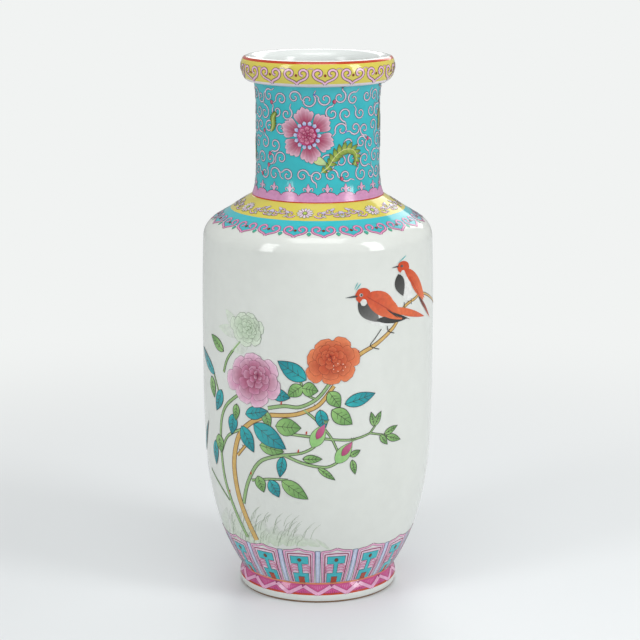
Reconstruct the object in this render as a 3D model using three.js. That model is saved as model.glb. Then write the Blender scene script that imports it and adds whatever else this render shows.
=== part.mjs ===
// Straight-necked porcelain vase with a rolled rim, a near-cylindrical body and a ring foot.
// A vase of this form is thrown or cast in sections that are luted together before glazing.
// Each section is one lathe turned solid, and neighbours meet on flat horizontal joints.
// Units are millimetres, +Z is up, and the origin is the centre of the standing ring.

import * as THREE from 'three';

// Heights of the sections
const FOOT_HEIGHT = 12.5;
const BASE_THICKNESS = 6;
const LOWER_BODY_HEIGHT = 115.5;
const UPPER_BODY_HEIGHT = 112;
const SHOULDER_RISE = 28.4;
const NECK_HEIGHT = 74.6;
const RIM_HEIGHT = 17;

// Heights of the joints, from the table up
const BODY_JOINT_HEIGHT = FOOT_HEIGHT + LOWER_BODY_HEIGHT;
const SHOULDER_HEIGHT = BODY_JOINT_HEIGHT + UPPER_BODY_HEIGHT;
const NECK_BASE_HEIGHT = SHOULDER_HEIGHT + SHOULDER_RISE;
const RIM_BASE_HEIGHT = NECK_BASE_HEIGHT + NECK_HEIGHT;
const VASE_HEIGHT = RIM_BASE_HEIGHT + RIM_HEIGHT;

// Outer radii
const FOOT_STANDING_RADIUS = 52;
const FOOT_WIDEST_RADIUS = 53.2;
const FOOT_WIDEST_HEIGHT = 5.5;
const BODY_BOTTOM_RADIUS = 51.3;
const BODY_RADIUS = 77.4;
const BODY_WIDEST_HEIGHT = 188;
const SHOULDER_DRAW_IN = 1;
const SHOULDER_RADIUS = BODY_RADIUS - SHOULDER_DRAW_IN;
const SHOULDER_EDGE_REACH = 9.4;
const SHOULDER_EDGE_RISE = 13.8;
const NECK_BASE_RADIUS = 43.9;
const NECK_RADIUS = 40.9;
const NECK_TOP_RADIUS = 42.2;
const RIM_RADIUS = 50.7;
const RIM_CREST_RADIUS = 46.5;

// Walls and hollows
const BODY_WALL = 5;
const SHOULDER_WALL = 5.5;
const NECK_WALL = 4.4;
const FOOT_RING_WIDTH = 8.5;
const FOOT_SEAT_WIDTH = 11.5;
const MOUTH_RADIUS = 38.5;
const MOUTH_LIP_DEPTH = 8;
const BASE_CLEARANCE = 0.3;

// Exponent of the curve that draws the lower body in to the foot
const TAPER_POWER = 4.5;
const NECK_FLARE_HEIGHT = 21;
const NECK_TOP_FLARE_HEIGHT = 13;
const RIM_ROLL_HEIGHT = 9;
const TURNS = 56;
const CURVE_STEPS = 8;

const point = (radius, height) => new THREE.Vector2(radius, height);

// Points of a quadratic curve, first and last included
function bend(start, control, end, steps = CURVE_STEPS) {
  return new THREE.QuadraticBezierCurve(start, control, end).getPoints(steps);
}

// Outer radius of the body at a height
function bodyRadius(height) {
  if (height > BODY_WIDEST_HEIGHT) {
    const share = (height - BODY_WIDEST_HEIGHT) / (SHOULDER_HEIGHT - BODY_WIDEST_HEIGHT);
    return BODY_RADIUS - SHOULDER_DRAW_IN * share ** 2;
  }
  const left = (BODY_WIDEST_HEIGHT - height) / (BODY_WIDEST_HEIGHT - FOOT_HEIGHT);
  return BODY_RADIUS - (BODY_RADIUS - BODY_BOTTOM_RADIUS) * left ** TAPER_POWER;
}

// Points up the body between two heights, a wall's thickness inside its outer face
function bodyPoints(from, to, inset, steps) {
  return Array.from({ length: steps + 1 }, (_, step) => {
    const height = from + ((to - from) * step) / steps;
    return point(bodyRadius(height) - inset, height);
  });
}

// A ring turned from its outer points, bottom to top, and its inner points, bottom to top
function ring(name, outer, inner, material) {
  const profile = [...outer, ...inner.slice().reverse(), outer[0].clone()];
  return turned(name, profile, material);
}

function turned(name, profile, material) {
  const geometry = new THREE.LatheGeometry(profile, TURNS);
  geometry.rotateX(Math.PI / 2);
  const mesh = new THREE.Mesh(geometry, material);
  mesh.name = name;
  return mesh;
}

function glaze(colour) {
  return new THREE.MeshStandardMaterial({ color: colour, roughness: 0.18, metalness: 0 });
}

const vase = new THREE.Group();

// Foot ring: a low bulged band on a flat standing ring, with a step inside that carries the base
const footOuter = [
  point(FOOT_STANDING_RADIUS, 0),
  ...bend(
    point(FOOT_STANDING_RADIUS + 0.6, 0.8),
    point(2 * FOOT_WIDEST_RADIUS - BODY_BOTTOM_RADIUS, FOOT_WIDEST_HEIGHT),
    point(BODY_BOTTOM_RADIUS, FOOT_HEIGHT),
  ),
];
const footInner = [
  point(FOOT_STANDING_RADIUS - FOOT_RING_WIDTH + 1.5, 0),
  point(FOOT_STANDING_RADIUS - FOOT_RING_WIDTH, 1.5),
  point(BODY_BOTTOM_RADIUS - FOOT_SEAT_WIDTH, FOOT_HEIGHT),
];
vase.add(ring('foot_ring', footOuter, footInner, glaze(0xd58bb5)));

// Base: a round slab seated on the foot ring, inside the lower wall
const baseRadius = BODY_BOTTOM_RADIUS - BODY_WALL - BASE_CLEARANCE;
const baseProfile = [
  point(0, FOOT_HEIGHT),
  point(baseRadius, FOOT_HEIGHT),
  point(baseRadius, FOOT_HEIGHT + BASE_THICKNESS - 1.5),
  point(baseRadius - 1.5, FOOT_HEIGHT + BASE_THICKNESS),
  point(0, FOOT_HEIGHT + BASE_THICKNESS),
];
vase.add(turned('base_disc', baseProfile, glaze(0xeef1ef)));

// Body: two sections, drawn in below and nearly straight above
vase.add(ring(
  'lower_body',
  bodyPoints(FOOT_HEIGHT, BODY_JOINT_HEIGHT, 0, 2 * CURVE_STEPS),
  bodyPoints(FOOT_HEIGHT, BODY_JOINT_HEIGHT, BODY_WALL, CURVE_STEPS),
  glaze(0xf1f3f0),
));
vase.add(ring(
  'upper_body',
  bodyPoints(BODY_JOINT_HEIGHT, SHOULDER_HEIGHT, 0, CURVE_STEPS),
  bodyPoints(BODY_JOINT_HEIGHT, SHOULDER_HEIGHT, BODY_WALL, CURVE_STEPS),
  glaze(0xf1f3f0),
));

// Shoulder: a rounded edge, then a cone that rises to the neck
const shoulderEdge = point(SHOULDER_RADIUS - SHOULDER_EDGE_REACH, SHOULDER_HEIGHT + SHOULDER_EDGE_RISE);
const shoulderOuter = [
  ...bend(
    point(SHOULDER_RADIUS, SHOULDER_HEIGHT),
    point(SHOULDER_RADIUS, SHOULDER_HEIGHT + 0.65 * SHOULDER_EDGE_RISE),
    shoulderEdge,
  ),
  point(NECK_BASE_RADIUS, NECK_BASE_HEIGHT),
];
const shoulderInner = [
  ...bend(
    point(SHOULDER_RADIUS - BODY_WALL, SHOULDER_HEIGHT),
    point(SHOULDER_RADIUS - BODY_WALL, SHOULDER_HEIGHT + 0.65 * SHOULDER_EDGE_RISE - SHOULDER_WALL / 2),
    point(shoulderEdge.x - SHOULDER_WALL / 2, shoulderEdge.y - SHOULDER_WALL),
  ),
  point(NECK_BASE_RADIUS - NECK_WALL, NECK_BASE_HEIGHT - SHOULDER_WALL / 2),
  point(NECK_BASE_RADIUS - NECK_WALL - 1.5, NECK_BASE_HEIGHT),
];
vase.add(ring('shoulder', shoulderOuter, shoulderInner, glaze(0xcfd06a)));

// Neck: a tall tube, slightly waisted, that flares a little at both ends
const neckOuter = [
  ...bend(
    point(NECK_BASE_RADIUS, NECK_BASE_HEIGHT),
    point(NECK_RADIUS + 0.3, NECK_BASE_HEIGHT + 3),
    point(NECK_RADIUS, NECK_BASE_HEIGHT + NECK_FLARE_HEIGHT),
  ),
  ...bend(
    point(NECK_RADIUS, RIM_BASE_HEIGHT - NECK_TOP_FLARE_HEIGHT),
    point(NECK_RADIUS + 0.3, RIM_BASE_HEIGHT - 5),
    point(NECK_TOP_RADIUS, RIM_BASE_HEIGHT),
  ),
];
const neckInnerRadius = NECK_RADIUS - NECK_WALL;
const neckInner = [
  point(NECK_BASE_RADIUS - NECK_WALL - 1.5, NECK_BASE_HEIGHT),
  point(neckInnerRadius, NECK_BASE_HEIGHT + NECK_FLARE_HEIGHT),
  point(neckInnerRadius, RIM_BASE_HEIGHT),
];
vase.add(ring('neck', neckOuter, neckInner, glaze(0x3ebec6)));

// Mouth rim: a rolled collar with a crest that slopes into the mouth
const rimOuter = [
  point(NECK_TOP_RADIUS + 1, RIM_BASE_HEIGHT),
  ...bend(
    point(NECK_TOP_RADIUS + 3, RIM_BASE_HEIGHT + 0.4),
    point(RIM_RADIUS, RIM_BASE_HEIGHT + 0.7),
    point(RIM_RADIUS, RIM_BASE_HEIGHT + RIM_ROLL_HEIGHT),
  ),
  ...bend(
    point(RIM_RADIUS, RIM_BASE_HEIGHT + RIM_ROLL_HEIGHT),
    point(RIM_RADIUS, VASE_HEIGHT),
    point(RIM_CREST_RADIUS, VASE_HEIGHT),
  ).slice(1),
];
const rimInner = [
  point(neckInnerRadius, RIM_BASE_HEIGHT),
  ...bend(
    point(MOUTH_RADIUS, VASE_HEIGHT - MOUTH_LIP_DEPTH),
    point(RIM_CREST_RADIUS - 5, VASE_HEIGHT - 0.4),
    point(RIM_CREST_RADIUS - 1, VASE_HEIGHT - 0.05),
  ),
];
vase.add(ring('mouth_rim', rimOuter, rimInner, glaze(0xdfd57a)));

export default vase;
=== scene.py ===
import random
from math import atan2, cos, hypot, pi, radians, sin, sqrt

import bmesh
import bpy
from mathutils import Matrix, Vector


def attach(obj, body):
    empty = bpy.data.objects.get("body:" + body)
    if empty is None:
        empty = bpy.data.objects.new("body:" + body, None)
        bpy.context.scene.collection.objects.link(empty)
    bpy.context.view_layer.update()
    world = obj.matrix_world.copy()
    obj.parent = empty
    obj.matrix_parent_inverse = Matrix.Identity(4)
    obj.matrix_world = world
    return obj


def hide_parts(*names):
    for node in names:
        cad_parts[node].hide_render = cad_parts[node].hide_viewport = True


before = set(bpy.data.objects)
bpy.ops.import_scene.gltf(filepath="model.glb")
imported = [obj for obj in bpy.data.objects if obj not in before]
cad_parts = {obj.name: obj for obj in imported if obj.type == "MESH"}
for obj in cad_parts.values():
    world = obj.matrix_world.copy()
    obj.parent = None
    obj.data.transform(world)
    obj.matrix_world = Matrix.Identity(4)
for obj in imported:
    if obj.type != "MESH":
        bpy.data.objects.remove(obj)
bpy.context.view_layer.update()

# Camera
# It stands a step away and a little above the vase, and looks down at it.
# Picture sizes are in pixels, real sizes in mm.
MM = 0.001
FOCAL_PIXELS = 2030.5
PICTURE_WIDTH = 640
CAMERA_REACH = 1336
CAMERA_HEIGHT = 478.4
CAMERA_PITCH = radians(12.51)
AXIS_COLUMN = 317.8
MIDDLE = PICTURE_WIDTH / 2

lens = bpy.data.cameras.new("camera")
lens.sensor_width = 36
lens.lens = 36 * FOCAL_PIXELS / PICTURE_WIDTH
lens.shift_x = (MIDDLE - AXIS_COLUMN) / PICTURE_WIDTH
camera = bpy.data.objects.new("camera", lens)
camera.location = (0, -CAMERA_REACH * MM, CAMERA_HEIGHT * MM)
camera.rotation_euler = (pi / 2 - CAMERA_PITCH, 0, 0)
bpy.context.scene.collection.objects.link(camera)
bpy.context.scene.camera = camera
bpy.context.scene.view_settings.view_transform = "Standard"

# Vase sections
# Hard white porcelain, thrown in sections and luted together, with a clear glossy glaze.
# Each is spun from the profile of its own outer and inner wall, and stands for its solid.
FOOT_TOP, BODY_JOINT, SHOULDER, NECK_BASE, RIM_BASE, RIM_TOP = 12.5, 128, 240, 268.4, 343, 360
BODY_RADIUS, BODY_BOTTOM, WIDEST, TAPER = 77.4, 51.3, 188, 4.5
SHOULDER_RADIUS, EDGE_RADIUS, EDGE_TOP = 76.4, 67, 253.8
NECK_BASE_RADIUS, NECK_RADIUS, NECK_TOP_RADIUS = 43.9, 40.9, 42.2
WAIST_LOW, WAIST_HIGH = 289.4, 330
ROLL_RADIUS, ROLL_WIDEST, CREST_RADIUS = 50.7, 352, 46.5
BODY_WALL, NECK_BORE = 5, 36.5
SPIN_STEPS = 192


def bent(height, start, control, end):
    """Radius at a height on a quadratic curve through (radius, height) points."""
    a = start[1] - 2 * control[1] + end[1]
    b = 2 * (control[1] - start[1])
    c = start[1] - height
    t = -c / b if abs(a) < 1e-9 else (-b + sqrt(max(b * b - 4 * a * c, 0))) / (2 * a)
    return (1 - t) ** 2 * start[0] + 2 * t * (1 - t) * control[0] + t * t * end[0]


def outer(height):
    """Outer radius of the vase at a height, in mm."""
    if height < 0.8:
        return 52 + 0.75 * height
    if height < FOOT_TOP:
        return bent(height, (52.6, 0.8), (55.1, 5.5), (BODY_BOTTOM, FOOT_TOP))
    if height < WIDEST:
        left = (WIDEST - height) / (WIDEST - FOOT_TOP)
        return BODY_RADIUS - (BODY_RADIUS - BODY_BOTTOM) * left ** TAPER
    if height < SHOULDER:
        return BODY_RADIUS - ((height - WIDEST) / (SHOULDER - WIDEST)) ** 2
    if height < EDGE_TOP:
        return bent(height, (SHOULDER_RADIUS, SHOULDER), (SHOULDER_RADIUS, 248.97), (EDGE_RADIUS, EDGE_TOP))
    if height < NECK_BASE:
        drop = EDGE_RADIUS - NECK_BASE_RADIUS
        return EDGE_RADIUS - drop * (height - EDGE_TOP) / (NECK_BASE - EDGE_TOP)
    if height < WAIST_LOW:
        return bent(height, (NECK_BASE_RADIUS, NECK_BASE), (41.2, 271.4), (NECK_RADIUS, WAIST_LOW))
    if height < WAIST_HIGH:
        return NECK_RADIUS
    if height < RIM_BASE:
        return bent(height, (NECK_RADIUS, WAIST_HIGH), (41.2, 338), (NECK_TOP_RADIUS, RIM_BASE))
    if height < 343.4:
        return 43.2 + 5 * (height - RIM_BASE)
    if height < ROLL_WIDEST:
        return bent(height, (45.2, 343.4), (48.8, 343.7), (ROLL_RADIUS, ROLL_WIDEST))
    top = min(height, RIM_TOP)
    return bent(top, (ROLL_RADIUS, ROLL_WIDEST), (ROLL_RADIUS, RIM_TOP), (CREST_RADIUS, RIM_TOP))


def tint(red, green, blue):
    """Linear colour from 0 to 255 screen values."""
    parts = [v / 255 for v in (red, green, blue)]
    return tuple(v / 12.92 if v < 0.04045 else ((v + 0.055) / 1.055) ** 2.4 for v in parts) + (1,)


WHITE = tint(217, 220, 215)
BROWN_LINE = tint(128, 96, 66)
RED_LINE = tint(190, 62, 28)
SALMON_LINE = tint(226, 150, 104)
YELLOW = tint(212, 198, 84)
TURQUOISE = tint(58, 184, 194)
PINK = tint(208, 146, 188)
MAGENTA = tint(200, 84, 142)


def glazed(name, roughness=0.1):
    """A glossy glaze material, with its nodes, its shader and the object's coordinates."""
    material = bpy.data.materials.new(name)
    material.use_nodes = True
    nodes, links = material.node_tree.nodes, material.node_tree.links
    shader = nodes["Principled BSDF"]
    shader.inputs["Roughness"].default_value = roughness
    shader.inputs["IOR"].default_value = 1.52
    where = nodes.new("ShaderNodeTexCoord").outputs["Object"]
    ripple = nodes.new("ShaderNodeTexNoise")
    ripple.inputs["Scale"].default_value = 90
    ripple.inputs["Detail"].default_value = 2
    links.new(where, ripple.inputs["Vector"])
    bump = nodes.new("ShaderNodeBump")
    bump.inputs["Strength"].default_value = 0.04
    bump.inputs["Distance"].default_value = 0.0006
    links.new(ripple.outputs["Fac"], bump.inputs["Height"])
    links.new(bump.outputs["Normal"], shader.inputs["Normal"])
    return material, nodes, links, shader, where


def mottled(nodes, links, shader, where, colour, scale, low):
    """Feeds the shader a colour that thins and pools a little, as enamel does."""
    cloud = nodes.new("ShaderNodeTexNoise")
    cloud.inputs["Scale"].default_value = scale
    cloud.inputs["Detail"].default_value = 4
    links.new(where, cloud.inputs["Vector"])
    span = nodes.new("ShaderNodeMapRange")
    span.inputs["From Min"].default_value = 0.3
    span.inputs["From Max"].default_value = 0.7
    span.inputs["To Min"].default_value = low
    span.inputs["To Max"].default_value = 1.0
    links.new(cloud.outputs["Fac"], span.inputs["Value"])
    mix = nodes.new("ShaderNodeMix")
    mix.data_type = "RGBA"
    mix.blend_type = "MULTIPLY"
    mix.inputs["Factor"].default_value = 1
    links.new(colour, mix.inputs["A"])
    links.new(span.outputs["Result"], mix.inputs["B"])
    links.new(mix.outputs["Result"], shader.inputs["Base Color"])


def banded(name, bands, low):
    """Glaze painted in level bands, given as (upper edge in mm, colour) from the bottom up."""
    material, nodes, links, shader, where = glazed(name)
    split = nodes.new("ShaderNodeSeparateXYZ")
    links.new(where, split.inputs["Vector"])
    level = nodes.new("ShaderNodeMath")
    level.operation = "DIVIDE"
    level.inputs[1].default_value = (RIM_TOP + 1) * MM
    links.new(split.outputs["Z"], level.inputs[0])
    ramp = nodes.new("ShaderNodeValToRGB")
    ramp.color_ramp.interpolation = "CONSTANT"
    links.new(level.outputs["Value"], ramp.inputs["Fac"])
    stops = ramp.color_ramp.elements
    stops[0].color = bands[0][1]
    stops.remove(stops[1])
    for (edge, _), (_, colour) in zip(bands, bands[1:]):
        stops.new(edge / (RIM_TOP + 1)).color = colour
    mottled(nodes, links, shader, where, ramp.outputs["Color"], 120, low)
    return material


def plain(name, colour):
    material, nodes, links, shader, where = glazed(name, 0.16)
    source = nodes.new("ShaderNodeRGB")
    source.outputs[0].default_value = colour
    mottled(nodes, links, shader, where, source.outputs[0], 60, 0.96)
    return material


def section(name, node, low, high, inner, bands, thin=0.97):
    """Spins one section: its outer wall by the profile, its inner wall by the given points."""
    count = max(6, round((high - low) / 0.8))
    levels = [low + (high - low) * i / count for i in range(count + 1)]
    points = [(outer(level), level) for level in levels]
    if node == "neck":
        points[-1] = (NECK_TOP_RADIUS, high)
    points += inner
    bm = bmesh.new()
    verts = [bm.verts.new((r * MM, 0, z * MM)) for r, z in points]
    loop = verts if node == "base_disc" else verts + verts[:1]
    edges = [bm.edges.new(pair) for pair in zip(loop, loop[1:])]
    bmesh.ops.spin(bm, geom=verts + edges, cent=(0, 0, 0), axis=(0, 0, 1), angle=2 * pi,
                   steps=SPIN_STEPS, use_merge=True)
    bmesh.ops.remove_doubles(bm, verts=bm.verts, dist=1e-7)
    bmesh.ops.recalc_face_normals(bm, faces=bm.faces)
    for face in bm.faces:
        face.smooth = True
        middle = face.calc_center_median()
        reach = hypot(middle.x, middle.y) / MM
        outside = face.normal.xy.dot(middle.xy) > 0 and reach > outer(middle.z / MM) - 0.6
        face.material_index = 0 if outside or reach > 45.9 and middle.z / MM > 358 else 1
    for edge in bm.edges:
        edge.smooth = len(edge.link_faces) == 2 and edge.calc_face_angle(0) < radians(38)
    mesh = bpy.data.meshes.new(name)
    bm.to_mesh(mesh)
    bm.free()
    mesh.materials.append(banded(name + "_glaze", bands, thin))
    mesh.materials.append(inner_glaze)
    piece = bpy.data.objects.new(name, mesh)
    bpy.context.scene.collection.objects.link(piece)
    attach(piece, "root")
    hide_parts(node)


def inside(low, high, wall, count=24):
    """Inner wall points from the top down."""
    rise = high - low
    return [(outer(high - rise * i / count) - wall, high - rise * i / count) for i in range(count + 1)]


inner_glaze = plain("inner_glaze", tint(226, 230, 228))
section("glazed_foot", "foot_ring", 0, FOOT_TOP,
        [(39.8, 12.5), (42.6, 4), (43.5, 1.5), (45, 0)],
        [(0.6, BROWN_LINE), (5.1, WHITE), (5.7, RED_LINE), (12.1, MAGENTA), (20, SALMON_LINE)])
section("glazed_lower_body", "lower_body", FOOT_TOP, BODY_JOINT,
        inside(FOOT_TOP, BODY_JOINT, BODY_WALL), [(13.7, SALMON_LINE), (200, WHITE)])
section("glazed_upper_body", "upper_body", BODY_JOINT, SHOULDER,
        inside(BODY_JOINT, SHOULDER, BODY_WALL), [(300, WHITE)])
shoulder_inner = [(37.7, NECK_BASE)]
shoulder_inner += [(39.4 + 24.7 * i / 8, 265.6 - 17.3 * i / 8) for i in range(9)]
shoulder_inner += [(70, 245), (71.4, SHOULDER)]
section("glazed_shoulder", "shoulder", SHOULDER, NECK_BASE, shoulder_inner,
        [(252.6, WHITE), (258.1, TURQUOISE), (258.7, RED_LINE), (268.1, YELLOW), (300, RED_LINE)])
section("glazed_neck", "neck", NECK_BASE, RIM_BASE,
        [(NECK_BORE, RIM_BASE), (NECK_BORE, 320), (NECK_BORE, WAIST_LOW), (37.0, 276), (38.0, NECK_BASE)],
        [(268.8, RED_LINE), (272.8, PINK), (400, TURQUOISE)], 0.9)
lip = [(45.5 - 7 * sin(i * pi / 16), 359.95 - 7.95 * (1 - cos(i * pi / 16))) for i in range(9)]
section("glazed_rim", "mouth_rim", RIM_BASE, RIM_TOP, lip + [(NECK_BORE, RIM_BASE)],
        [(344.6, tint(226, 214, 222)), (357.3, YELLOW), (358.4, RED_LINE), (400, WHITE)])


# Base
# A round slab of the same porcelain, seated on the foot ring inside the lower wall.
# It is glazed white on both faces.
bm = bmesh.new()
disc = bmesh.ops.create_circle(bm, cap_ends=True, segments=96, radius=46 * MM)
bmesh.ops.translate(bm, verts=bm.verts, vec=(0, 0, FOOT_TOP * MM))
grown = bmesh.ops.extrude_face_region(bm, geom=bm.faces[:])
bmesh.ops.translate(bm, verts=[v for v in grown["geom"] if isinstance(v, bmesh.types.BMVert)],
                    vec=(0, 0, 6 * MM))
bmesh.ops.recalc_face_normals(bm, faces=bm.faces)
mesh = bpy.data.meshes.new("glazed_base")
bm.to_mesh(mesh)
bm.free()
mesh.materials.append(inner_glaze)
base = bpy.data.objects.new("glazed_base", mesh)
bpy.context.scene.collection.objects.link(base)
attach(base, "root")
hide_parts("base_disc")

# Rim ornament
# Raised enamels are fired onto the glaze: a row of cloud heads with a dot in each.
# They are thin sheets drawn on the unrolled surface in mm, then wrapped onto the vase.
random.seed(7)
enamel, nodes, links, shader, where = glazed("painted_enamel", 0.2)
stain = nodes.new("ShaderNodeAttribute")
stain.attribute_name = "paint"
mottled(nodes, links, shader, where, stain.outputs["Color"], 420, 0.82)
OUTLINE = tint(74, 36, 56)
INK = tint(48, 46, 44)
DOT = tint(140, 52, 22)
PALE_PINK = tint(232, 186, 212)
brush = {}


def start():
    brush["bm"] = bmesh.new()
    brush["paint"] = brush["bm"].verts.layers.float_color.new("paint")


def fired(name):
    """Ends a painted piece: all that was drawn since start becomes one object."""
    bm = brush["bm"]
    for face in bm.faces:
        face.smooth = True
        face.normal_update()
        if face.normal.xy.dot(face.calc_center_median().xy) < 0:
            face.normal_flip()
    mesh = bpy.data.meshes.new(name)
    bm.to_mesh(mesh)
    bm.free()
    mesh.materials.append(enamel)
    piece = bpy.data.objects.new(name, mesh)
    bpy.context.scene.collection.objects.link(piece)
    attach(piece, "root")


def on_surface(azimuth, height, lift):
    """Point at an azimuth and height, a lift in mm off the glaze."""
    lean = (outer(height + 0.05) - outer(height - 0.05)) / 0.1
    size = hypot(1, lean)
    radius = outer(height) + lift / size
    level = height - lift * lean / size
    return Vector((radius * sin(azimuth), -radius * cos(azimuth), level)) * MM


def at(azimuth, height):
    """Flat drawing plane in mm whose origin lies at an azimuth and height."""
    lean = (outer(height + 0.5) - outer(height - 0.5)) / 1.0
    squeeze = 1 / hypot(1, lean)
    return lambda s, t: (azimuth + s / outer(height), height + t * squeeze)


def blend(a, b, share):
    return tuple(x + (y - x) * min(max(share, 0), 1) for x, y in zip(a, b))


def sheet(shape, colour, along, across, lift):
    bm, paint = brush["bm"], brush["paint"]
    grid = bmesh.ops.create_grid(bm, x_segments=along, y_segments=across, size=1)
    for vert in grid["verts"]:
        u, v = (vert.co.x + 1) / 2, vert.co.y
        vert[paint] = colour(u, v)
        vert.co = on_surface(*shape(u, v), lift)


def spline(points, share):
    """Point on a smooth curve through the points."""
    place = share * (len(points) - 1)
    i = min(int(place), len(points) - 2)
    f = place - i
    p = [points[min(max(k, 0), len(points) - 1)] for k in (i - 1, i, i + 1, i + 2)]
    return tuple(0.5 * (2 * b + (c - a) * f + (2 * a - 5 * b + 4 * c - d) * f * f
                        + (3 * b - a - 3 * c + d) * f ** 3) for a, b, c, d in zip(*p))


def line(plane, points, width, colour, lift, end=None, steps=None):
    """A brush line; end is the width at its far end."""
    end = width if end is None else end
    run = sum(hypot(b[0] - a[0], b[1] - a[1]) for a, b in zip(points, points[1:]))
    steps = steps or max(2 * len(points), round(run / 2.2))

    def shape(u, v):
        x, y = spline(points, u)
        a, b = spline(points, max(u - 0.01, 0)), spline(points, min(u + 0.01, 1))
        dx, dy = b[0] - a[0], b[1] - a[1]
        size = hypot(dx, dy) or 1
        half = (width + (end - width) * u) / 2
        return plane(x - dy / size * v * half, y + dx / size * v * half)

    sheet(shape, lambda u, v: colour, steps, 1, lift)


def edged(plane, points, width, colour, edge, lift, end=None, rim=0.5):
    """A brush line with a darker outline."""
    end = width if end is None else end
    line(plane, points, width + rim, edge, lift, end + rim)
    line(plane, points, width, colour, lift + 0.05, end)


WIDTHS = {
    "leaf": lambda u: sin(pi * u ** 0.8) ** 0.9,
    "petal": lambda u: u ** 0.6 * sqrt(max(1 - u ** 5, 0)) * 1.12,
    "round": lambda u: sqrt(max(1 - (2 * u - 1) ** 2, 0)),
    "drop": lambda u: u ** 0.9 * sqrt(max(1 - u ** 3, 0)) * 1.35,
    "block": lambda u: 1,
}


def stroke(plane, base, tip, width, near, far, lift, form="leaf", edge=None, bow=0.0, rim=0.35, ease=1.0):
    """One brush mark from base to tip, shaded along it, outlined if it has an edge colour."""
    dx, dy = tip[0] - base[0], tip[1] - base[1]
    size = hypot(dx, dy)
    ux, uy = dx / size, dy / size
    waist = WIDTHS[form]

    def draw(grow, colour, height):
        def shape(u, v):
            along = -grow + u * (size + 2 * grow)
            side = v * waist(u) * (width / 2 + grow) + bow * sin(pi * u)
            return plane(base[0] + ux * along - uy * side, base[1] + uy * along + ux * side)
        sheet(shape, colour, max(4, min(12, round(size / 1.2))), 4 if width > 2 else 2, height)

    if edge:
        draw(rim, lambda u, v: edge, lift)
    draw(0, lambda u, v: blend(near, far, 0.85 * u ** ease + 0.3 * v ** 4 * u),
         lift + (0.04 if edge else 0))


def dot(plane, x, y, radius, colour, lift, edge=None, outer_colour=None):
    stroke(plane, (x - radius, y), (x + radius, y), 2 * radius, colour, outer_colour or colour, lift,
           "round", edge)


CLOUD = [(0.56, 0.06), (0.36, 0.20), (0.32, 0.58), (0.60, 0.84), (0.92, 0.62), (0.99, 0.16),
         (0.80, -0.26), (0.46, -0.52), (0.20, -0.70), (0.0, -1.0)]


def cloud_head(plane, half_width, half_height, width, colour, edge, lift):
    """A cloud head: two scrolls that curl in above and meet in a point below."""
    for side in (-1, 1):
        path = [(side * x * half_width, y * half_height) for x, y in CLOUD]
        edged(plane, path, width, colour, edge, lift, rim=0.75)


RIM_HEADS = 17
start()
for i in range(RIM_HEADS):
    plane = at(2 * pi * (i + 0.25) / RIM_HEADS, 350.6)
    cloud_head(plane, 7.6, 5.2, 1.25, PALE_PINK, OUTLINE, 0.16)
    dot(plane, 0, 0.6, 0.95, DOT, 0.2)
    for side in (-1, 1):
        edged(plane, [(side * 9.2, 5.2), (side * 7.6, 4.6), (side * 7.2, 3.0)], 0.35, PALE_PINK, OUTLINE,
              0.14, rim=0.25)
fired("rim_cloud_heads")

# Neck scrolls
# Pale pink tendrils raised over the turquoise ground, each outlined in brown.
# Rows of curls fill the neck between three large rosettes, with red buds at some tips.
ROSETTES = 3
ROSETTE_TURN = radians(-9.7)
ROSETTE_HEIGHT = 312
TENDRIL = tint(218, 202, 220)
BUD = tint(176, 34, 70)
LILAC = tint(96, 120, 196)


def curl(plane, reach, turn, hand, width, colour, edge, lift):
    """A tendril that runs in and winds up into a spiral."""
    points = []
    for i in range(15):
        angle = turn + hand * i * 0.52
        size = reach * (1 - i / 15) ** 0.8
        points.append((size * cos(angle), size * sin(angle)))
    edged(plane, points, width, colour, edge, lift, width * 0.7, 0.6)
    return points[0]


def near_rosette(azimuth, height, reach):
    for k in range(ROSETTES):
        gap = (azimuth - ROSETTE_TURN - k * 2 * pi / ROSETTES + pi) % (2 * pi) - pi
        if hypot(gap * NECK_RADIUS, height - ROSETTE_HEIGHT) < reach:
            return True
    return False


start()
COLUMNS, ROWS = 26, 6
for row in range(ROWS):
    for column in range(COLUMNS):
        azimuth = 2 * pi * (column + 0.5 * (row % 2) + random.uniform(-0.14, 0.14)) / COLUMNS
        height = 286 + row * 9.9 + random.uniform(-1, 1)
        if near_rosette(azimuth, height, 19):
            continue
        plane = at(azimuth, height)
        hand = 1 if (row + column) % 2 else -1
        turn = random.uniform(0, 2 * pi)
        tail = curl(plane, random.uniform(3.9, 5.0), turn, hand, 0.85, TENDRIL, OUTLINE, 0.12)
        sweep = turn - hand * 1.1
        far = (tail[0] + 4.4 * cos(sweep), tail[1] + 4.4 * sin(sweep))
        bend = (tail[0] + 2.0 * cos(sweep - hand * 0.5), tail[1] + 2.0 * sin(sweep - hand * 0.5))
        edged(plane, [tail, bend, far], 0.85, TENDRIL, OUTLINE, 0.1, 0.4, 0.4)
        if random.random() < 0.22:
            dot(plane, far[0], far[1], 1.15, BUD, 0.22, OUTLINE, tint(226, 130, 160))
        elif random.random() < 0.1:
            dot(plane, far[0], far[1], 0.8, LILAC, 0.22)
fired("neck_scrolls")

# Neck rosettes
# Large peony rosettes with frilled pink petals, a blue ring and a deep red heart.
# A feathered green leaf curls out under each, and a smaller one lies at its other side.
ROSE_DEEP = tint(158, 28, 78)
ROSE_MID = tint(200, 84, 132)
ROSE_PALE = tint(240, 206, 224)
LEAF_DARK = tint(62, 96, 34)
LEAF_LIGHT = tint(170, 190, 84)


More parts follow.
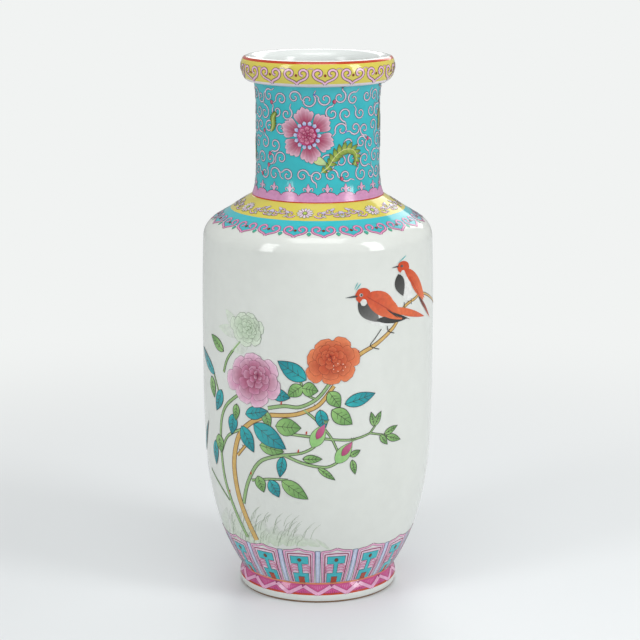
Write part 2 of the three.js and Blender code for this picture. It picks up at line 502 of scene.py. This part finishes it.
def feathered(plane, route, width, lift):
    """A curled leaf with lobes down both sides of its rib."""
    for i in range(13):
        share = 0.04 + i * 0.074
        x, y = spline(route, share)
        a, b = spline(route, max(share - 0.03, 0)), spline(route, min(share + 0.03, 1))
        angle = atan2(b[1] - a[1], b[0] - a[0])
        size = width * (0.55 + 0.45 * sin(pi * min(share * 1.1, 1)))
        for side in (-1, 1):
            lean = angle + side * 0.85
            tip = (x + size * cos(lean), y + size * sin(lean))
            stroke(plane, (x, y), tip, size * 0.5, LEAF_LIGHT, LEAF_DARK, lift + i * 0.006, "leaf", INK,
                   side * -0.5, 0.2)
    line(plane, route, 0.7, tint(206, 214, 140), lift + 0.14, 0.3)


start()
for k in range(ROSETTES):
    plane = at(ROSETTE_TURN + k * 2 * pi / ROSETTES, ROSETTE_HEIGHT)
    feathered(plane, [(9, -24), (14, -20), (18, -14), (24, -9.5), (31, -10), (34, -15), (32, -20)], 6.0,
              0.2)
    feathered(plane, [(-27, 1), (-25, 5), (-25, 10), (-23, 13)], 3.8, 0.2)
    stroke(plane, (3, -14), (13, -19), 5.2, tint(230, 232, 150), tint(150, 196, 150), 0.2, "leaf", OUTLINE)
    for i in range(6):
        angle = radians(90 + i * 60 + 10)
        for part in (-1, 1, -0.45, 0.45, 0):
            lean = angle + part * 0.38
            reach = 18.6 - abs(part) * 2.6
            stroke(plane, (5 * cos(angle), 5 * sin(angle)), (reach * cos(lean), reach * sin(lean)), 4.6,
                   ROSE_DEEP, ROSE_PALE, 0.24 + 0.012 * i + 0.02 * (2 - abs(part)), "petal", OUTLINE, 0,
                   0.2, 2.4)
    for i in range(14):
        angle = radians(i * 360 / 14)
        stroke(plane, (5.2 * cos(angle), 5.2 * sin(angle)), (9.2 * cos(angle), 9.2 * sin(angle)), 3.0,
               LILAC, tint(222, 228, 246), 0.36 + 0.004 * (i % 2), "petal", OUTLINE, 0, 0.2)
    dot(plane, 0, 0, 6.6, ROSE_MID, 0.4, OUTLINE, ROSE_DEEP)
    for ring, (count, reach) in enumerate(((8, 5.8), (6, 3.4), (4, 1.7))):
        for i in range(count):
            angle = radians(i * 360 / count + 20 * ring)
            stroke(plane, (0.3 * reach * cos(angle), 0.3 * reach * sin(angle)),
                   (reach * cos(angle), reach * sin(angle)),
                   reach * 0.62, ROSE_DEEP, tint(236, 160, 192), 0.46 + 0.05 * ring, "petal",
                   tint(110, 14, 50), 0, 0.22, 1.6)
fired("neck_rosettes")

# Neck edge
# A pink collar whose upper edge is a row of small lilies, outlined in black.
# The pink below the lilies runs on round the neck as one ribbon, down to a red line.
LILIES = 21
start()
for i in range(LILIES):
    plane = at(2 * pi * (i + 0.5) / LILIES, 274.6)
    stroke(plane, (-6.1, -2.2), (6.1, -2.2), 5.6, PINK, PINK, 0.07, "round", INK)
    stroke(plane, (0, 0.2), (0, 6.2), 2.4, PALE_PINK, PINK, 0.16, "leaf", INK, 0, 0.25)
    for side in (-1, 1):
        edged(plane, [(side * 0.3, 1.4), (side * 2.0, 3.4), (side * 3.2, 2.6), (side * 2.6, 1.4)], 0.7,
              PALE_PINK, INK, 0.15, 0.4, 0.35)
line(at(0, 270.9), [(outer(270.9) * 2 * pi * j / 8, 0) for j in range(9)], 3.9, PINK, 0.15, steps=144)
fired("neck_lilies")

# Shoulder ornament
# A yellow band of small daisies with leafy scrolls between, inside red lines.
# Below it hang cloud heads over the edge of the turquoise band, with green dots between them.
DAISIES = 7
start()
for i in range(DAISIES):
    turn = radians(-9 + i * 360 / DAISIES)
    plane = at(turn, 263.2)
    for side in (-1, 1):
        for far, size in ((9.5, 3.6), (15.5, 3.2), (20.5, 2.6)):
            spin = at(turn + side * far / outer(263.2), 263.2 + (0.9 if far == 15.5 else -0.6))
            curl(spin, size, radians(200 if side > 0 else -20), side, 0.8, PALE_PINK, INK, 0.12)
            stroke(spin, (side * 0.8, 0.6), (side * 4.4, 3.0), 1.9, tint(190, 190, 220), TENDRIL, 0.2,
                   "leaf", INK, 0, 0.22)
            stroke(spin, (side * 0.8, -0.6), (side * 4.0, -3.2), 1.7, tint(150, 176, 120), TENDRIL, 0.2,
                   "leaf", INK, 0, 0.22)
    for j in range(12):
        angle = radians(j * 30)
        stroke(plane, (1.1 * cos(angle), 1.1 * sin(angle)), (5.6 * cos(angle), 4.9 * sin(angle)), 1.9,
               tint(236, 196, 220), WHITE, 0.24 + 0.004 * (j % 2), "petal", INK, 0, 0.22)
    dot(plane, 0, 0, 1.4, tint(176, 200, 90), 0.36, INK)
fired("shoulder_daisies")

EDGE_HEADS = 23
start()
for i in range(EDGE_HEADS):
    turn = 2 * pi * (i + 0.2) / EDGE_HEADS
    plane = at(turn, 253.9)
    stroke(plane, (-6.6, 1.6), (6.6, 1.6), 9.6, TURQUOISE, TURQUOISE, 0.06, "round")
    stroke(plane, (0, 2.5), (0, -5.4), 8.4, TURQUOISE, TURQUOISE, 0.065, "leaf")
    cloud_head(plane, 7.4, 5.6, 1.1, tint(222, 150, 190), tint(150, 40, 92), 0.14)
    dot(plane, 0, 0.9, 0.85, DOT, 0.22, INK)
    between = at(turn + pi / EDGE_HEADS, 253.3)
    stroke(between, (0, 0.6), (0, -3.4), 2.6, tint(40, 170, 170), tint(96, 180, 120), 0.1, "leaf",
           tint(60, 110, 110), 0, 0.25)
fired("shoulder_cloud_heads")

# Lappets
# Sixteen upright panels round the lower body, each a turquoise figure in a pink frame.
# Lavender bars stand between them, and a brown doorway shows at the foot of each figure.
LAPPETS = 16
LAVENDER = tint(190, 202, 230)
CLAW = tint(190, 84, 124)


def block(plane, left, right, bottom, top, colour, lift, edge=None):
    middle = (left + right) / 2
    if edge:
        block(plane, left - 0.3, right + 0.3, bottom - 0.3, top + 0.3, edge, lift - 0.03)
    stroke(plane, (middle, bottom), (middle, top), right - left, colour, colour, lift, "block")


def upright(azimuth):
    """Drawing plane whose height is the real height, and whose width narrows with the vase."""
    return lambda s, t: (azimuth + s / 62, t)


start()
for i in range(LAPPETS):
    turn = 2 * pi * (i + 0.5) / LAPPETS
    plane = upright(turn)
    block(plane, -8.6, 8.6, 14.0, 39.4, tint(232, 206, 224), 0.08)
    for side in (-1, 1):
        frame_line = [(side * 8.4, 14.2), (side * 9.0, 24), (side * 9.6, 38.2), (side * 8.6, 40.0),
                      (side * 4.2, 40.6), (0, 42.2)]
        edged(plane, frame_line, 1.3, tint(230, 168, 202), INK, 0.12, rim=0.5)
        inner_line = [(side * 6.9, 14.4), (side * 7.3, 24), (side * 7.6, 36.4), (side * 7.0, 37.8),
                      (side * 3.5, 38.2), (0, 38.4)]
        line(plane, inner_line, 0.75, tint(150, 44, 84), 0.12)
        block(plane, side * 3.9 - 1.6, side * 3.9 + 1.6, 14.6, 20.6, TURQUOISE, 0.18, INK)
        for claw in range(3):
            low = 23.6 + claw * 2.1
            edged(plane, [(side * 1.8, low + 0.9), (side * 4.2, low + 1.6), (side * 6.4, low + 0.2),
                          (side * 6.3, low - 1.0)],
                  0.7, tint(232, 160, 196), CLAW, 0.2, 0.4, 0.5)
    block(plane, -5.5, 5.5, 19.6, 22.4, TURQUOISE, 0.185, INK)
    block(plane, -1.3, 1.3, 22.2, 31.8, TURQUOISE, 0.19, INK)
    block(plane, -5.8, 5.8, 30.4, 36.2, TURQUOISE, 0.2, INK)
    block(plane, -2.2, 2.2, 14.4, 19.2, tint(176, 66, 34), 0.2, INK)
    dot(plane, 0, 33.4, 1.15, tint(120, 62, 34), 0.26, INK)
    bar = upright(turn + pi / LAPPETS)
    block(bar, -1.35, 1.35, 14.3, 40.6, LAVENDER, 0.16, tint(70, 84, 120))
    line(bar, [(0.0, 14.6), (0.0, 40.2)], 0.3, tint(238, 240, 250), 0.2)
fired("lappet_panels")

# Foot zigzag
# A pink band on the bulge of the foot: pale ribbons zigzag over hatched magenta triangles.
# Thin red lines close it above and below.
ZIGZAGS = 17
start()
half_pitch = pi * outer(9) / ZIGZAGS
for i in range(ZIGZAGS):
    plane = at(2 * pi * i / ZIGZAGS, 9)
    for side in (-1, 1):
        edged(plane, [(0, -2.7), (side * half_pitch / 2, 0), (side * half_pitch, 2.7)], 2.3,
              tint(232, 172, 206), tint(150, 40, 100), 0.14, rim=0.5)
    for j in range(-3, 4):
        tall = 2.6 - abs(j) * 0.7
        if tall > 0.4:
            line(plane, [(j * 1.25, 2.7), (j * 1.25, 2.7 - tall)], 0.28, tint(228, 150, 196), 0.1)
            line(plane, [(half_pitch + j * 1.25, -2.7), (half_pitch + j * 1.25, -2.7 + tall)], 0.28,
                 tint(146, 40, 100), 0.1)
fired("foot_zigzag")


# Rose bush stems
# A painted bush: a brown trunk and branch, green stems and twigs, and thorns, all outlined.
# Routes are picture positions, brought onto the vase by the camera's line of sight.
def seen(x, y):
    """Place on the body, in mm round and up, that the camera sees at a picture position."""
    across, up = (x - AXIS_COLUMN) / FOCAL_PIXELS, (MIDDLE - y) / FOCAL_PIXELS
    ray = (across, cos(CAMERA_PITCH) + up * sin(CAMERA_PITCH), up * cos(CAMERA_PITCH) - sin(CAMERA_PITCH))
    best, found = 1e9, None
    for i in range(900):
        far = 1240 + i * 0.2
        px, py, pz = far * ray[0], far * ray[1] - CAMERA_REACH, CAMERA_HEIGHT + far * ray[2]
        gap = hypot(px, py) - outer(pz)
        if gap < best:
            best, found = gap, (atan2(px, -py) * BODY_RADIUS, pz)
        if gap < 0:
            break
    return found


def body(s, t):
    return (s / BODY_RADIUS, t)


def route(*spots):
    return [seen(x, y) for x, y in spots]


TAN, TAN_EDGE = tint(210, 172, 98), tint(104, 66, 34)
STEM, STEM_EDGE = tint(150, 184, 124), tint(52, 66, 42)
THORN = tint(190, 60, 40)
start()
for points, width, end in (
    (route((257, 540), (241, 502), (235, 473), (235, 453), (240, 434), (252, 422), (270, 415)), 4.2, 2.3),
    (route((238, 455), (247, 444)), 1.6, 1.2),
    (route((270, 415), (292, 415), (307, 411), (320, 404), (334, 386)), 2.3, 1.8),
    (route((350, 367), (359, 355), (376, 344), (390, 331), (396, 323), (404, 307), (414, 299), (423, 293),
           (433, 302)), 2.4, 0.9),
):
    edged(body, points, width, TAN, TAN_EDGE, 0.1, end, 0.95)
    for i in range(3, 12, 2):
        x, y = spline(points, i / 13)
        stroke(body, (x, y), (x + (2.2 if i % 4 == 3 else -2.2), y + 1.4), 0.8, TAN_EDGE, TAN_EDGE, 0.12,
               "leaf")
for points, width, end in (
    (route((248, 537), (231, 498), (224, 471), (221, 431), (225, 408), (238, 395)), 2.4, 1.5),
    (route((222, 452), (228, 436), (242, 429)), 1.4, 1.2),
    (route((244, 503), (249, 480), (261, 461), (284, 455)), 2.2, 1.6),
    (route((284, 455), (302, 453), (314, 447), (319, 440)), 1.3, 1.0),
    (route((284, 455), (302, 463), (319, 467), (331, 466), (345, 457)), 1.5, 1.0),
    (route((290, 434), (312, 437), (326, 439), (349, 440), (361, 437), (370, 433)), 1.3, 0.7),
    (route((268, 408), (284, 406), (300, 407), (318, 398), (332, 380)), 1.9, 1.5),
    (route((252, 480), (270, 479), (288, 480)), 1.2, 0.9),
    (route((304, 410), (316, 420), (330, 436), (338, 452)), 1.0, 0.8),
    (route((212, 468), (220, 484), (230, 500)), 1.0, 0.8),
    (route((224, 372), (228, 358), (240, 342)), 1.4, 1.1),
    (route((221, 400), (216, 380), (212, 366)), 1.0, 0.7),
    (route((300, 380), (306, 394), (318, 400)), 0.9, 0.8),
    (route((370, 433), (376, 424)), 0.8, 0.6),
    (route((370, 433), (386, 435)), 0.8, 0.6),
):
    edged(body, points, width, STEM, STEM_EDGE, 0.13, end, 0.85)
for x, y in ((230, 492), (281, 404), (298, 452), (306, 434), (358, 353), (251, 474)):
    s, t = seen(x, y)
    stroke(body, (s, t - 0.6), (s + 0.6, t + 2.2), 1.1, THORN, THORN, 0.22, "leaf")
fired("rose_stems")

# Rose leaves
# Turquoise and green leaves, washed darker towards the tip and veined with a fine black line.
# Each is set by the picture positions of its stalk and its tip, and its width in pixels.
LEAF_BLUE, LEAF_BLUE_DARK = tint(40, 176, 180), tint(0, 124, 138)
LEAF_GREEN, LEAF_GREEN_DARK = tint(150, 196, 118), tint(92, 146, 76)


def rose_leaf(base, tip, width, blue, lift=0.2, fade=0.0):
    a, b = seen(*base), seen(*tip)
    near, far = (LEAF_BLUE, LEAF_BLUE_DARK) if blue else (LEAF_GREEN, LEAF_GREEN_DARK)
    near, far, ink = (blend(c, WHITE, fade) for c in (near, far, INK))
    width = width / 1.55
    stroke(body, a, b, width, near, far, lift, "leaf", ink, 0, 0.42)
    line(body, [a, ((a[0] + b[0]) / 2, (a[1] + b[1]) / 2), b], 0.35, ink, lift + 0.08, 0.25)
    dx, dy = b[0] - a[0], b[1] - a[1]
    for share in (0.25, 0.45, 0.62):
        for side in (-1, 1):
            reach = 0.36 * width * sin(pi * share)
            size = hypot(dx, dy)
            root = (a[0] + dx * share, a[1] + dy * share)
            end = (root[0] + dx * 0.14 - side * dy / size * reach,
                   root[1] + dy * 0.14 + side * dx / size * reach)
            line(body, [root, end], 0.3, ink, lift + 0.08, 0.2)


start()
for index, (base, tip, width, blue) in enumerate((
    ((306, 380), (278, 361), 17, True), ((272, 393), (290, 398), 12, True),
    ((215, 374), (204, 346), 11, True),
    ((222, 390), (217, 410), 13, True), ((234, 414), (232, 434), 13, True),
    ((246, 414), (268, 411), 13, True),
    ((242, 426), (254, 452), 15, True), ((254, 424), (286, 449), 20, True),
    ((216, 440), (217, 464), 11, True),
    ((283, 457), (280, 477), 10, True), ((270, 480), (279, 497), 13, True),
    ((345, 404), (375, 393), 13, True),
    ((320, 410), (324, 430), 12, True),
    ((302, 386), (288, 396), 13, False), ((302, 388), (318, 391), 14, False),
    ((224, 351), (212, 334), 11, False),
    ((212, 376), (215, 397), 12, False), ((237, 404), (236, 420), 9, False),
    ((264, 410), (270, 428), 10, False),
    ((276, 426), (301, 428), 18, False), ((260, 445), (284, 452), 13, False),
    ((219, 434), (222, 452), 15, False),
    ((258, 476), (264, 492), 12, False), ((282, 481), (308, 499), 15, False),
    ((329, 392), (340, 407), 14, False),
    ((332, 410), (352, 424), 16, False), ((303, 459), (322, 459), 8, False),
    ((318, 468), (335, 480), 6, False),
    ((352, 460), (355, 474), 6, False), ((350, 456), (360, 450), 6, False),
    ((374, 426), (371, 412), 6, False),
    ((374, 426), (381, 411), 6, False), ((384, 434), (397, 425), 6, False),
    ((386, 436), (400, 439), 7, False),
    ((380, 435), (387, 444), 6, False), ((207, 450), (209, 420), 6, True),
    ((209, 480), (203, 452), 5, True),
)):
    rose_leaf(base, tip, width, blue, 0.2 + 0.012 * (index % 9))
fired("rose_leaves")

# Roses
# Three blooms in pink, iron red and pale green, and two buds, built petal by petal.
# Petals shade from deep at the heart to pale at the lip, and each has a fine outline.


def bloom(centre, heart, size, deep, mid, pale, edge, lift, lean=0.0):
    """An open rose: broad outer petals, a cup of folded ones, and a tight heart set off centre."""
    cx, cy = seen(*centre)
    hx, hy = seen(*heart)
    size = size / 1.55
    level = 0
    for count, inner, reach, width, near, far, phase in (
        (7, 0.15, 1.0, 0.82, mid, pale, 0.2),
        (6, 0.15, 0.82, 0.7, deep, blend(mid, pale, 0.75), 0.6),
        (6, 0.12, 0.62, 0.5, deep, blend(mid, pale, 0.4), 0.1),
        (6, 0.08, 0.46, 0.36, deep, blend(mid, pale, 0.55), 0.5),
        (5, 0.04, 0.31, 0.26, deep, blend(mid, pale, 0.4), 0.9),
        (4, 0.02, 0.18, 0.18, deep, blend(mid, pale, 0.7), 0.3),
    ):
        shift = 1 - reach
        x0, y0 = cx + (hx - cx) * shift, cy + (hy - cy) * shift
        for i in range(count):
            angle = lean + phase + 2 * pi * i / count
            wide = reach * (1 + 0.1 * sin(2.3 * i + phase * 5))
            base = (x0 + size * inner * cos(angle), y0 + size * inner * sin(angle) * 0.85)
            tip = (x0 + size * wide * cos(angle), y0 + size * wide * sin(angle) * 0.92)
            stroke(body, base, tip, size * width, near, far, lift + 0.022 * level, "petal", edge, 0, 0.2,
                   1.5)
            level += 1


start()
for x, y, tip_x, tip_y in ((240, 334, 219, 326), (238, 330, 226, 309), (248, 345, 232, 350)):
    stroke(body, seen(x, y), seen(tip_x, tip_y), 8, WHITE, tint(218, 230, 212), 0.1, "leaf",
           tint(190, 204, 184), 0, 0.12)
bloom((246, 329), (253, 327), 20, tint(184, 206, 176), tint(204, 220, 196), tint(222, 232, 216),
      tint(110, 134, 102), 0.14)
fired("pale_rose")
start()
bloom((252, 380), (260, 374), 31, tint(152, 30, 80), tint(196, 84, 140), tint(236, 206, 224),
      tint(120, 50, 84), 0.25, 0.4)
fired("pink_rose")
start()
bloom((332, 362), (330, 355), 27, tint(176, 50, 20), tint(208, 82, 38), tint(232, 138, 92),
      tint(130, 36, 18), 0.2, 0.9)
for angle in range(7):
    s, t = seen(339, 367)
    dot(body, s + 4 * cos(angle * 0.9), t + 2.6 * sin(angle * 0.9), 0.35, tint(248, 214, 190), 0.95)
fired("red_rose")
start()
for x, y, tip_x, tip_y in ((312, 447, 325, 424), (336, 463, 352, 442)):
    low, high = seen(x, y), seen(tip_x, tip_y)
    stroke(body, low, high, 9, tint(140, 196, 118), tint(170, 210, 140), 0.22, "leaf", STEM_EDGE, 0, 0.3)
    middle = ((low[0] * 0.65 + high[0] * 0.35), (low[1] * 0.65 + high[1] * 0.35))
    stroke(body, middle, high, 4.4, tint(172, 60, 110), tint(206, 110, 150), 0.32, "leaf", INK, 0, 0.2)
    for fan in (-1.8, 0, 1.8):
        stroke(body, high, (high[0] + fan + 1.2, high[1] + 3.4), 0.9, STEM, STEM_EDGE, 0.3, "leaf")
fired("rose_buds")

# Birds
# Two small red and black birds perched on the branch tip, the nearer one larger.
# They are soft washes laid one on another, with fine feather lines on top.
BIRD_RED, BIRD_ORANGE, BIRD_BLACK = tint(206, 74, 34), tint(232, 118, 66), tint(44, 44, 42)
BREAST, BEAK, CREST = tint(222, 222, 218), tint(112, 116, 118), tint(96, 188, 188)


def mark(start_at, end_at, width, near, far, lift, form="leaf", bow=0.0):
    stroke(body, seen(*start_at), seen(*end_at), width, near, far, lift, form, None, bow)


start()
mark((362, 304), (392, 324), 15, BREAST, tint(236, 238, 236), 0.1)
mark((360, 296), (379, 322), 12, BIRD_BLACK, tint(120, 120, 118), 0.14, "leaf", -1.2)
mark((366, 294), (398, 320), 15, BIRD_RED, BIRD_ORANGE, 0.18, "leaf", 1.6)
mark((388, 308), (424, 316), 5, BIRD_ORANGE, BIRD_RED, 0.2)
mark((376, 320), (407, 318), 5, BIRD_BLACK, BIRD_BLACK, 0.24)
mark((374, 301), (402, 319), 12, BIRD_RED, BIRD_ORANGE, 0.26, "leaf", 1.0)
for i in range(5):
    mark((386 + 2 * i, 309 + i), (398 + 3 * i, 318 + 0.3 * i), 0.8, BIRD_BLACK, BIRD_BLACK, 0.34)
mark((355, 295), (371, 296), 10, BIRD_RED, BIRD_RED, 0.28, "round")
mark((360, 302), (367, 303), 4.5, WHITE, BREAST, 0.32, "round")
mark((345, 298), (358, 296), 1.7, BEAK, BIRD_BLACK, 0.3, "drop")
for i in range(9):
    mark((366 + 2.6 * i, 296 + 1.5 * i), (372 + 2.8 * i, 300 + 1.7 * i), 0.5, tint(168, 50, 24), BIRD_RED,
         0.4)
mark((359, 295), (363, 295), 2.4, WHITE, BEAK, 0.36, "round")
mark((360, 295), (362, 295), 1.3, BIRD_BLACK, BIRD_BLACK, 0.38, "round")
mark((361, 283), (355, 291), 0.8, CREST, CREST, 0.3)
mark((358, 282), (354, 290), 0.6, CREST, CREST, 0.3)
line(body, route((381, 329), (375, 338), (370, 346), (379, 349)), 0.6, BIRD_BLACK, 0.26)
line(body, route((387, 326), (388, 331), (394, 333)), 0.6, BIRD_BLACK, 0.26)
mark((398, 272), (412, 304), 12, BREAST, tint(238, 240, 238), 0.1)
mark((398, 274), (403, 296), 9, BIRD_BLACK, tint(90, 90, 88), 0.16, "leaf", -0.6)
mark((404, 268), (424, 298), 8, BIRD_RED, BIRD_ORANGE, 0.2, "leaf", 1.0)
mark((409, 276), (423, 300), 6, BIRD_RED, BIRD_ORANGE, 0.24)
mark((418, 296), (429, 317), 2.6, BIRD_BLACK, BIRD_RED, 0.26)
mark((397, 267), (409, 267), 8, BIRD_RED, BIRD_RED, 0.26, "round")
mark((400, 273), (405, 273), 4, WHITE, BREAST, 0.3, "round")
mark((391, 268), (399, 266), 1.3, BEAK, BIRD_BLACK, 0.28, "drop")
for i in range(6):
    mark((409 + 1.5 * i, 276 + 3 * i), (411 + 1.7 * i, 281 + 3 * i), 0.5, tint(168, 50, 24), BIRD_RED, 0.34)
mark((400, 266), (403, 266), 1.6, BIRD_BLACK, BEAK, 0.34, "round")
mark((406, 255), (398, 263), 0.8, CREST, CREST, 0.28)
line(body, route((404, 302), (404, 308)), 0.6, BIRD_BLACK, 0.2)
line(body, route((411, 298), (411, 304)), 0.6, BIRD_BLACK, 0.2)
fired("painted_birds")

# Grass
# A pale green wash on the bank under the bush.
# Fine dark blades stand in it, all leaning to the right.
GRASS_WASH, GRASS_DARK = tint(206, 220, 198), tint(112, 134, 96)
start()
for i in range(9):
    x = 226 + i * 12
    top = 506 + 4.6 * i
    s, t = seen(x, 546)
    high = seen(x, top)
    stroke(body, (s, t), (high[0] + 2, high[1]), 15, GRASS_WASH, WHITE, 0.05 + 0.003 * i, "leaf")
for i in range(120):
    x = random.uniform(222, 340)
    floor = random.uniform(518, 548)
    low_edge = 500 + 0.42 * (x - 222)
    if floor < low_edge:
        continue
    s, t = seen(x, floor)
    tall = random.uniform(5, 12)
    line(body, [(s, t), (s + tall * 0.25, t + tall * 0.6), (s + tall * 0.7, t + tall)], 0.3,
         blend(GRASS_DARK, GRASS_WASH, random.random() * 0.6), 0.12, 0.1)
fired("painted_grass")

# Floor and studio
# Pale paper under the vase that fades into the backdrop.
# Soft lamps stand at the sides, above and behind.


def lamp(name, place, size, power, aim):
    light = bpy.data.lights.new(name, "AREA")
    light.shape = "RECTANGLE"
    light.size, light.size_y = size
    light.energy = power
    ob = bpy.data.objects.new(name, light)
    ob.location = place
    ob.rotation_euler = (Vector(aim) - Vector(place)).to_track_quat("-Z", "Y").to_euler()
    bpy.context.scene.collection.objects.link(ob)


FLOOR_REACH = 9.0
bm = bmesh.new()
bmesh.ops.create_circle(bm, cap_ends=True, segments=64, radius=FLOOR_REACH)
mesh = bpy.data.meshes.new("floor")
bm.to_mesh(mesh)
bm.free()
paper, nodes, links, shader, where = glazed("floor_paper", 0.45)
source = nodes.new("ShaderNodeRGB")
source.outputs[0].default_value = tint(222, 225, 227)
mottled(nodes, links, shader, where, source.outputs[0], 3, 0.99)
away = nodes.new("ShaderNodeVectorMath")
away.operation = "LENGTH"
links.new(where, away.inputs[0])
fade = nodes.new("ShaderNodeMapRange")
fade.interpolation_type = "SMOOTHSTEP"
fade.inputs["From Min"].default_value = 0.12
fade.inputs["From Max"].default_value = 0.8
fade.inputs["To Min"].default_value = 0.05
links.new(away.outputs["Value"], fade.inputs["Value"])
ray = nodes.new("ShaderNodeLightPath")
share = nodes.new("ShaderNodeMath")
share.operation = "MULTIPLY"
links.new(ray.outputs["Is Camera Ray"], share.inputs[0])
links.new(fade.outputs["Result"], share.inputs[1])
glow = nodes.new("ShaderNodeEmission")
BACKDROP = tint(241, 243, 242)
glow.inputs["Color"].default_value = BACKDROP
mix = nodes.new("ShaderNodeMixShader")
links.new(share.outputs["Value"], mix.inputs["Fac"])
links.new(shader.outputs["BSDF"], mix.inputs[1])
links.new(glow.outputs["Emission"], mix.inputs[2])
links.new(mix.outputs["Shader"], nodes["Material Output"].inputs["Surface"])
mesh.materials.append(paper)
ground = bpy.data.objects.new("floor", mesh)
bpy.context.scene.collection.objects.link(ground)
lamp("left_softbox", (-1.1, -0.9, 0.75), (0.35, 1.1), 7, (0, 0, 0.2))
lamp("right_softbox", (1.2, -0.7, 0.8), (0.4, 1.1), 11, (0, 0, 0.2))
lamp("top_softbox", (0, -0.5, 1.6), (1.0, 0.7), 7, (0, 0, 0.1))
lamp("back_softbox", (0.3, 1.4, 1.0), (1.4, 0.7), 7, (0, 0, 0.2))
world = bpy.data.worlds.new("studio")
world.use_nodes = True
nodes, links = world.node_tree.nodes, world.node_tree.links
nodes["Background"].inputs["Color"].default_value = BACKDROP
ray = nodes.new("ShaderNodeLightPath")
level = nodes.new("ShaderNodeMapRange")
level.inputs["To Min"].default_value = 0.5
links.new(ray.outputs["Is Camera Ray"], level.inputs["Value"])
links.new(level.outputs["Result"], nodes["Background"].inputs["Strength"])
bpy.context.scene.world = world
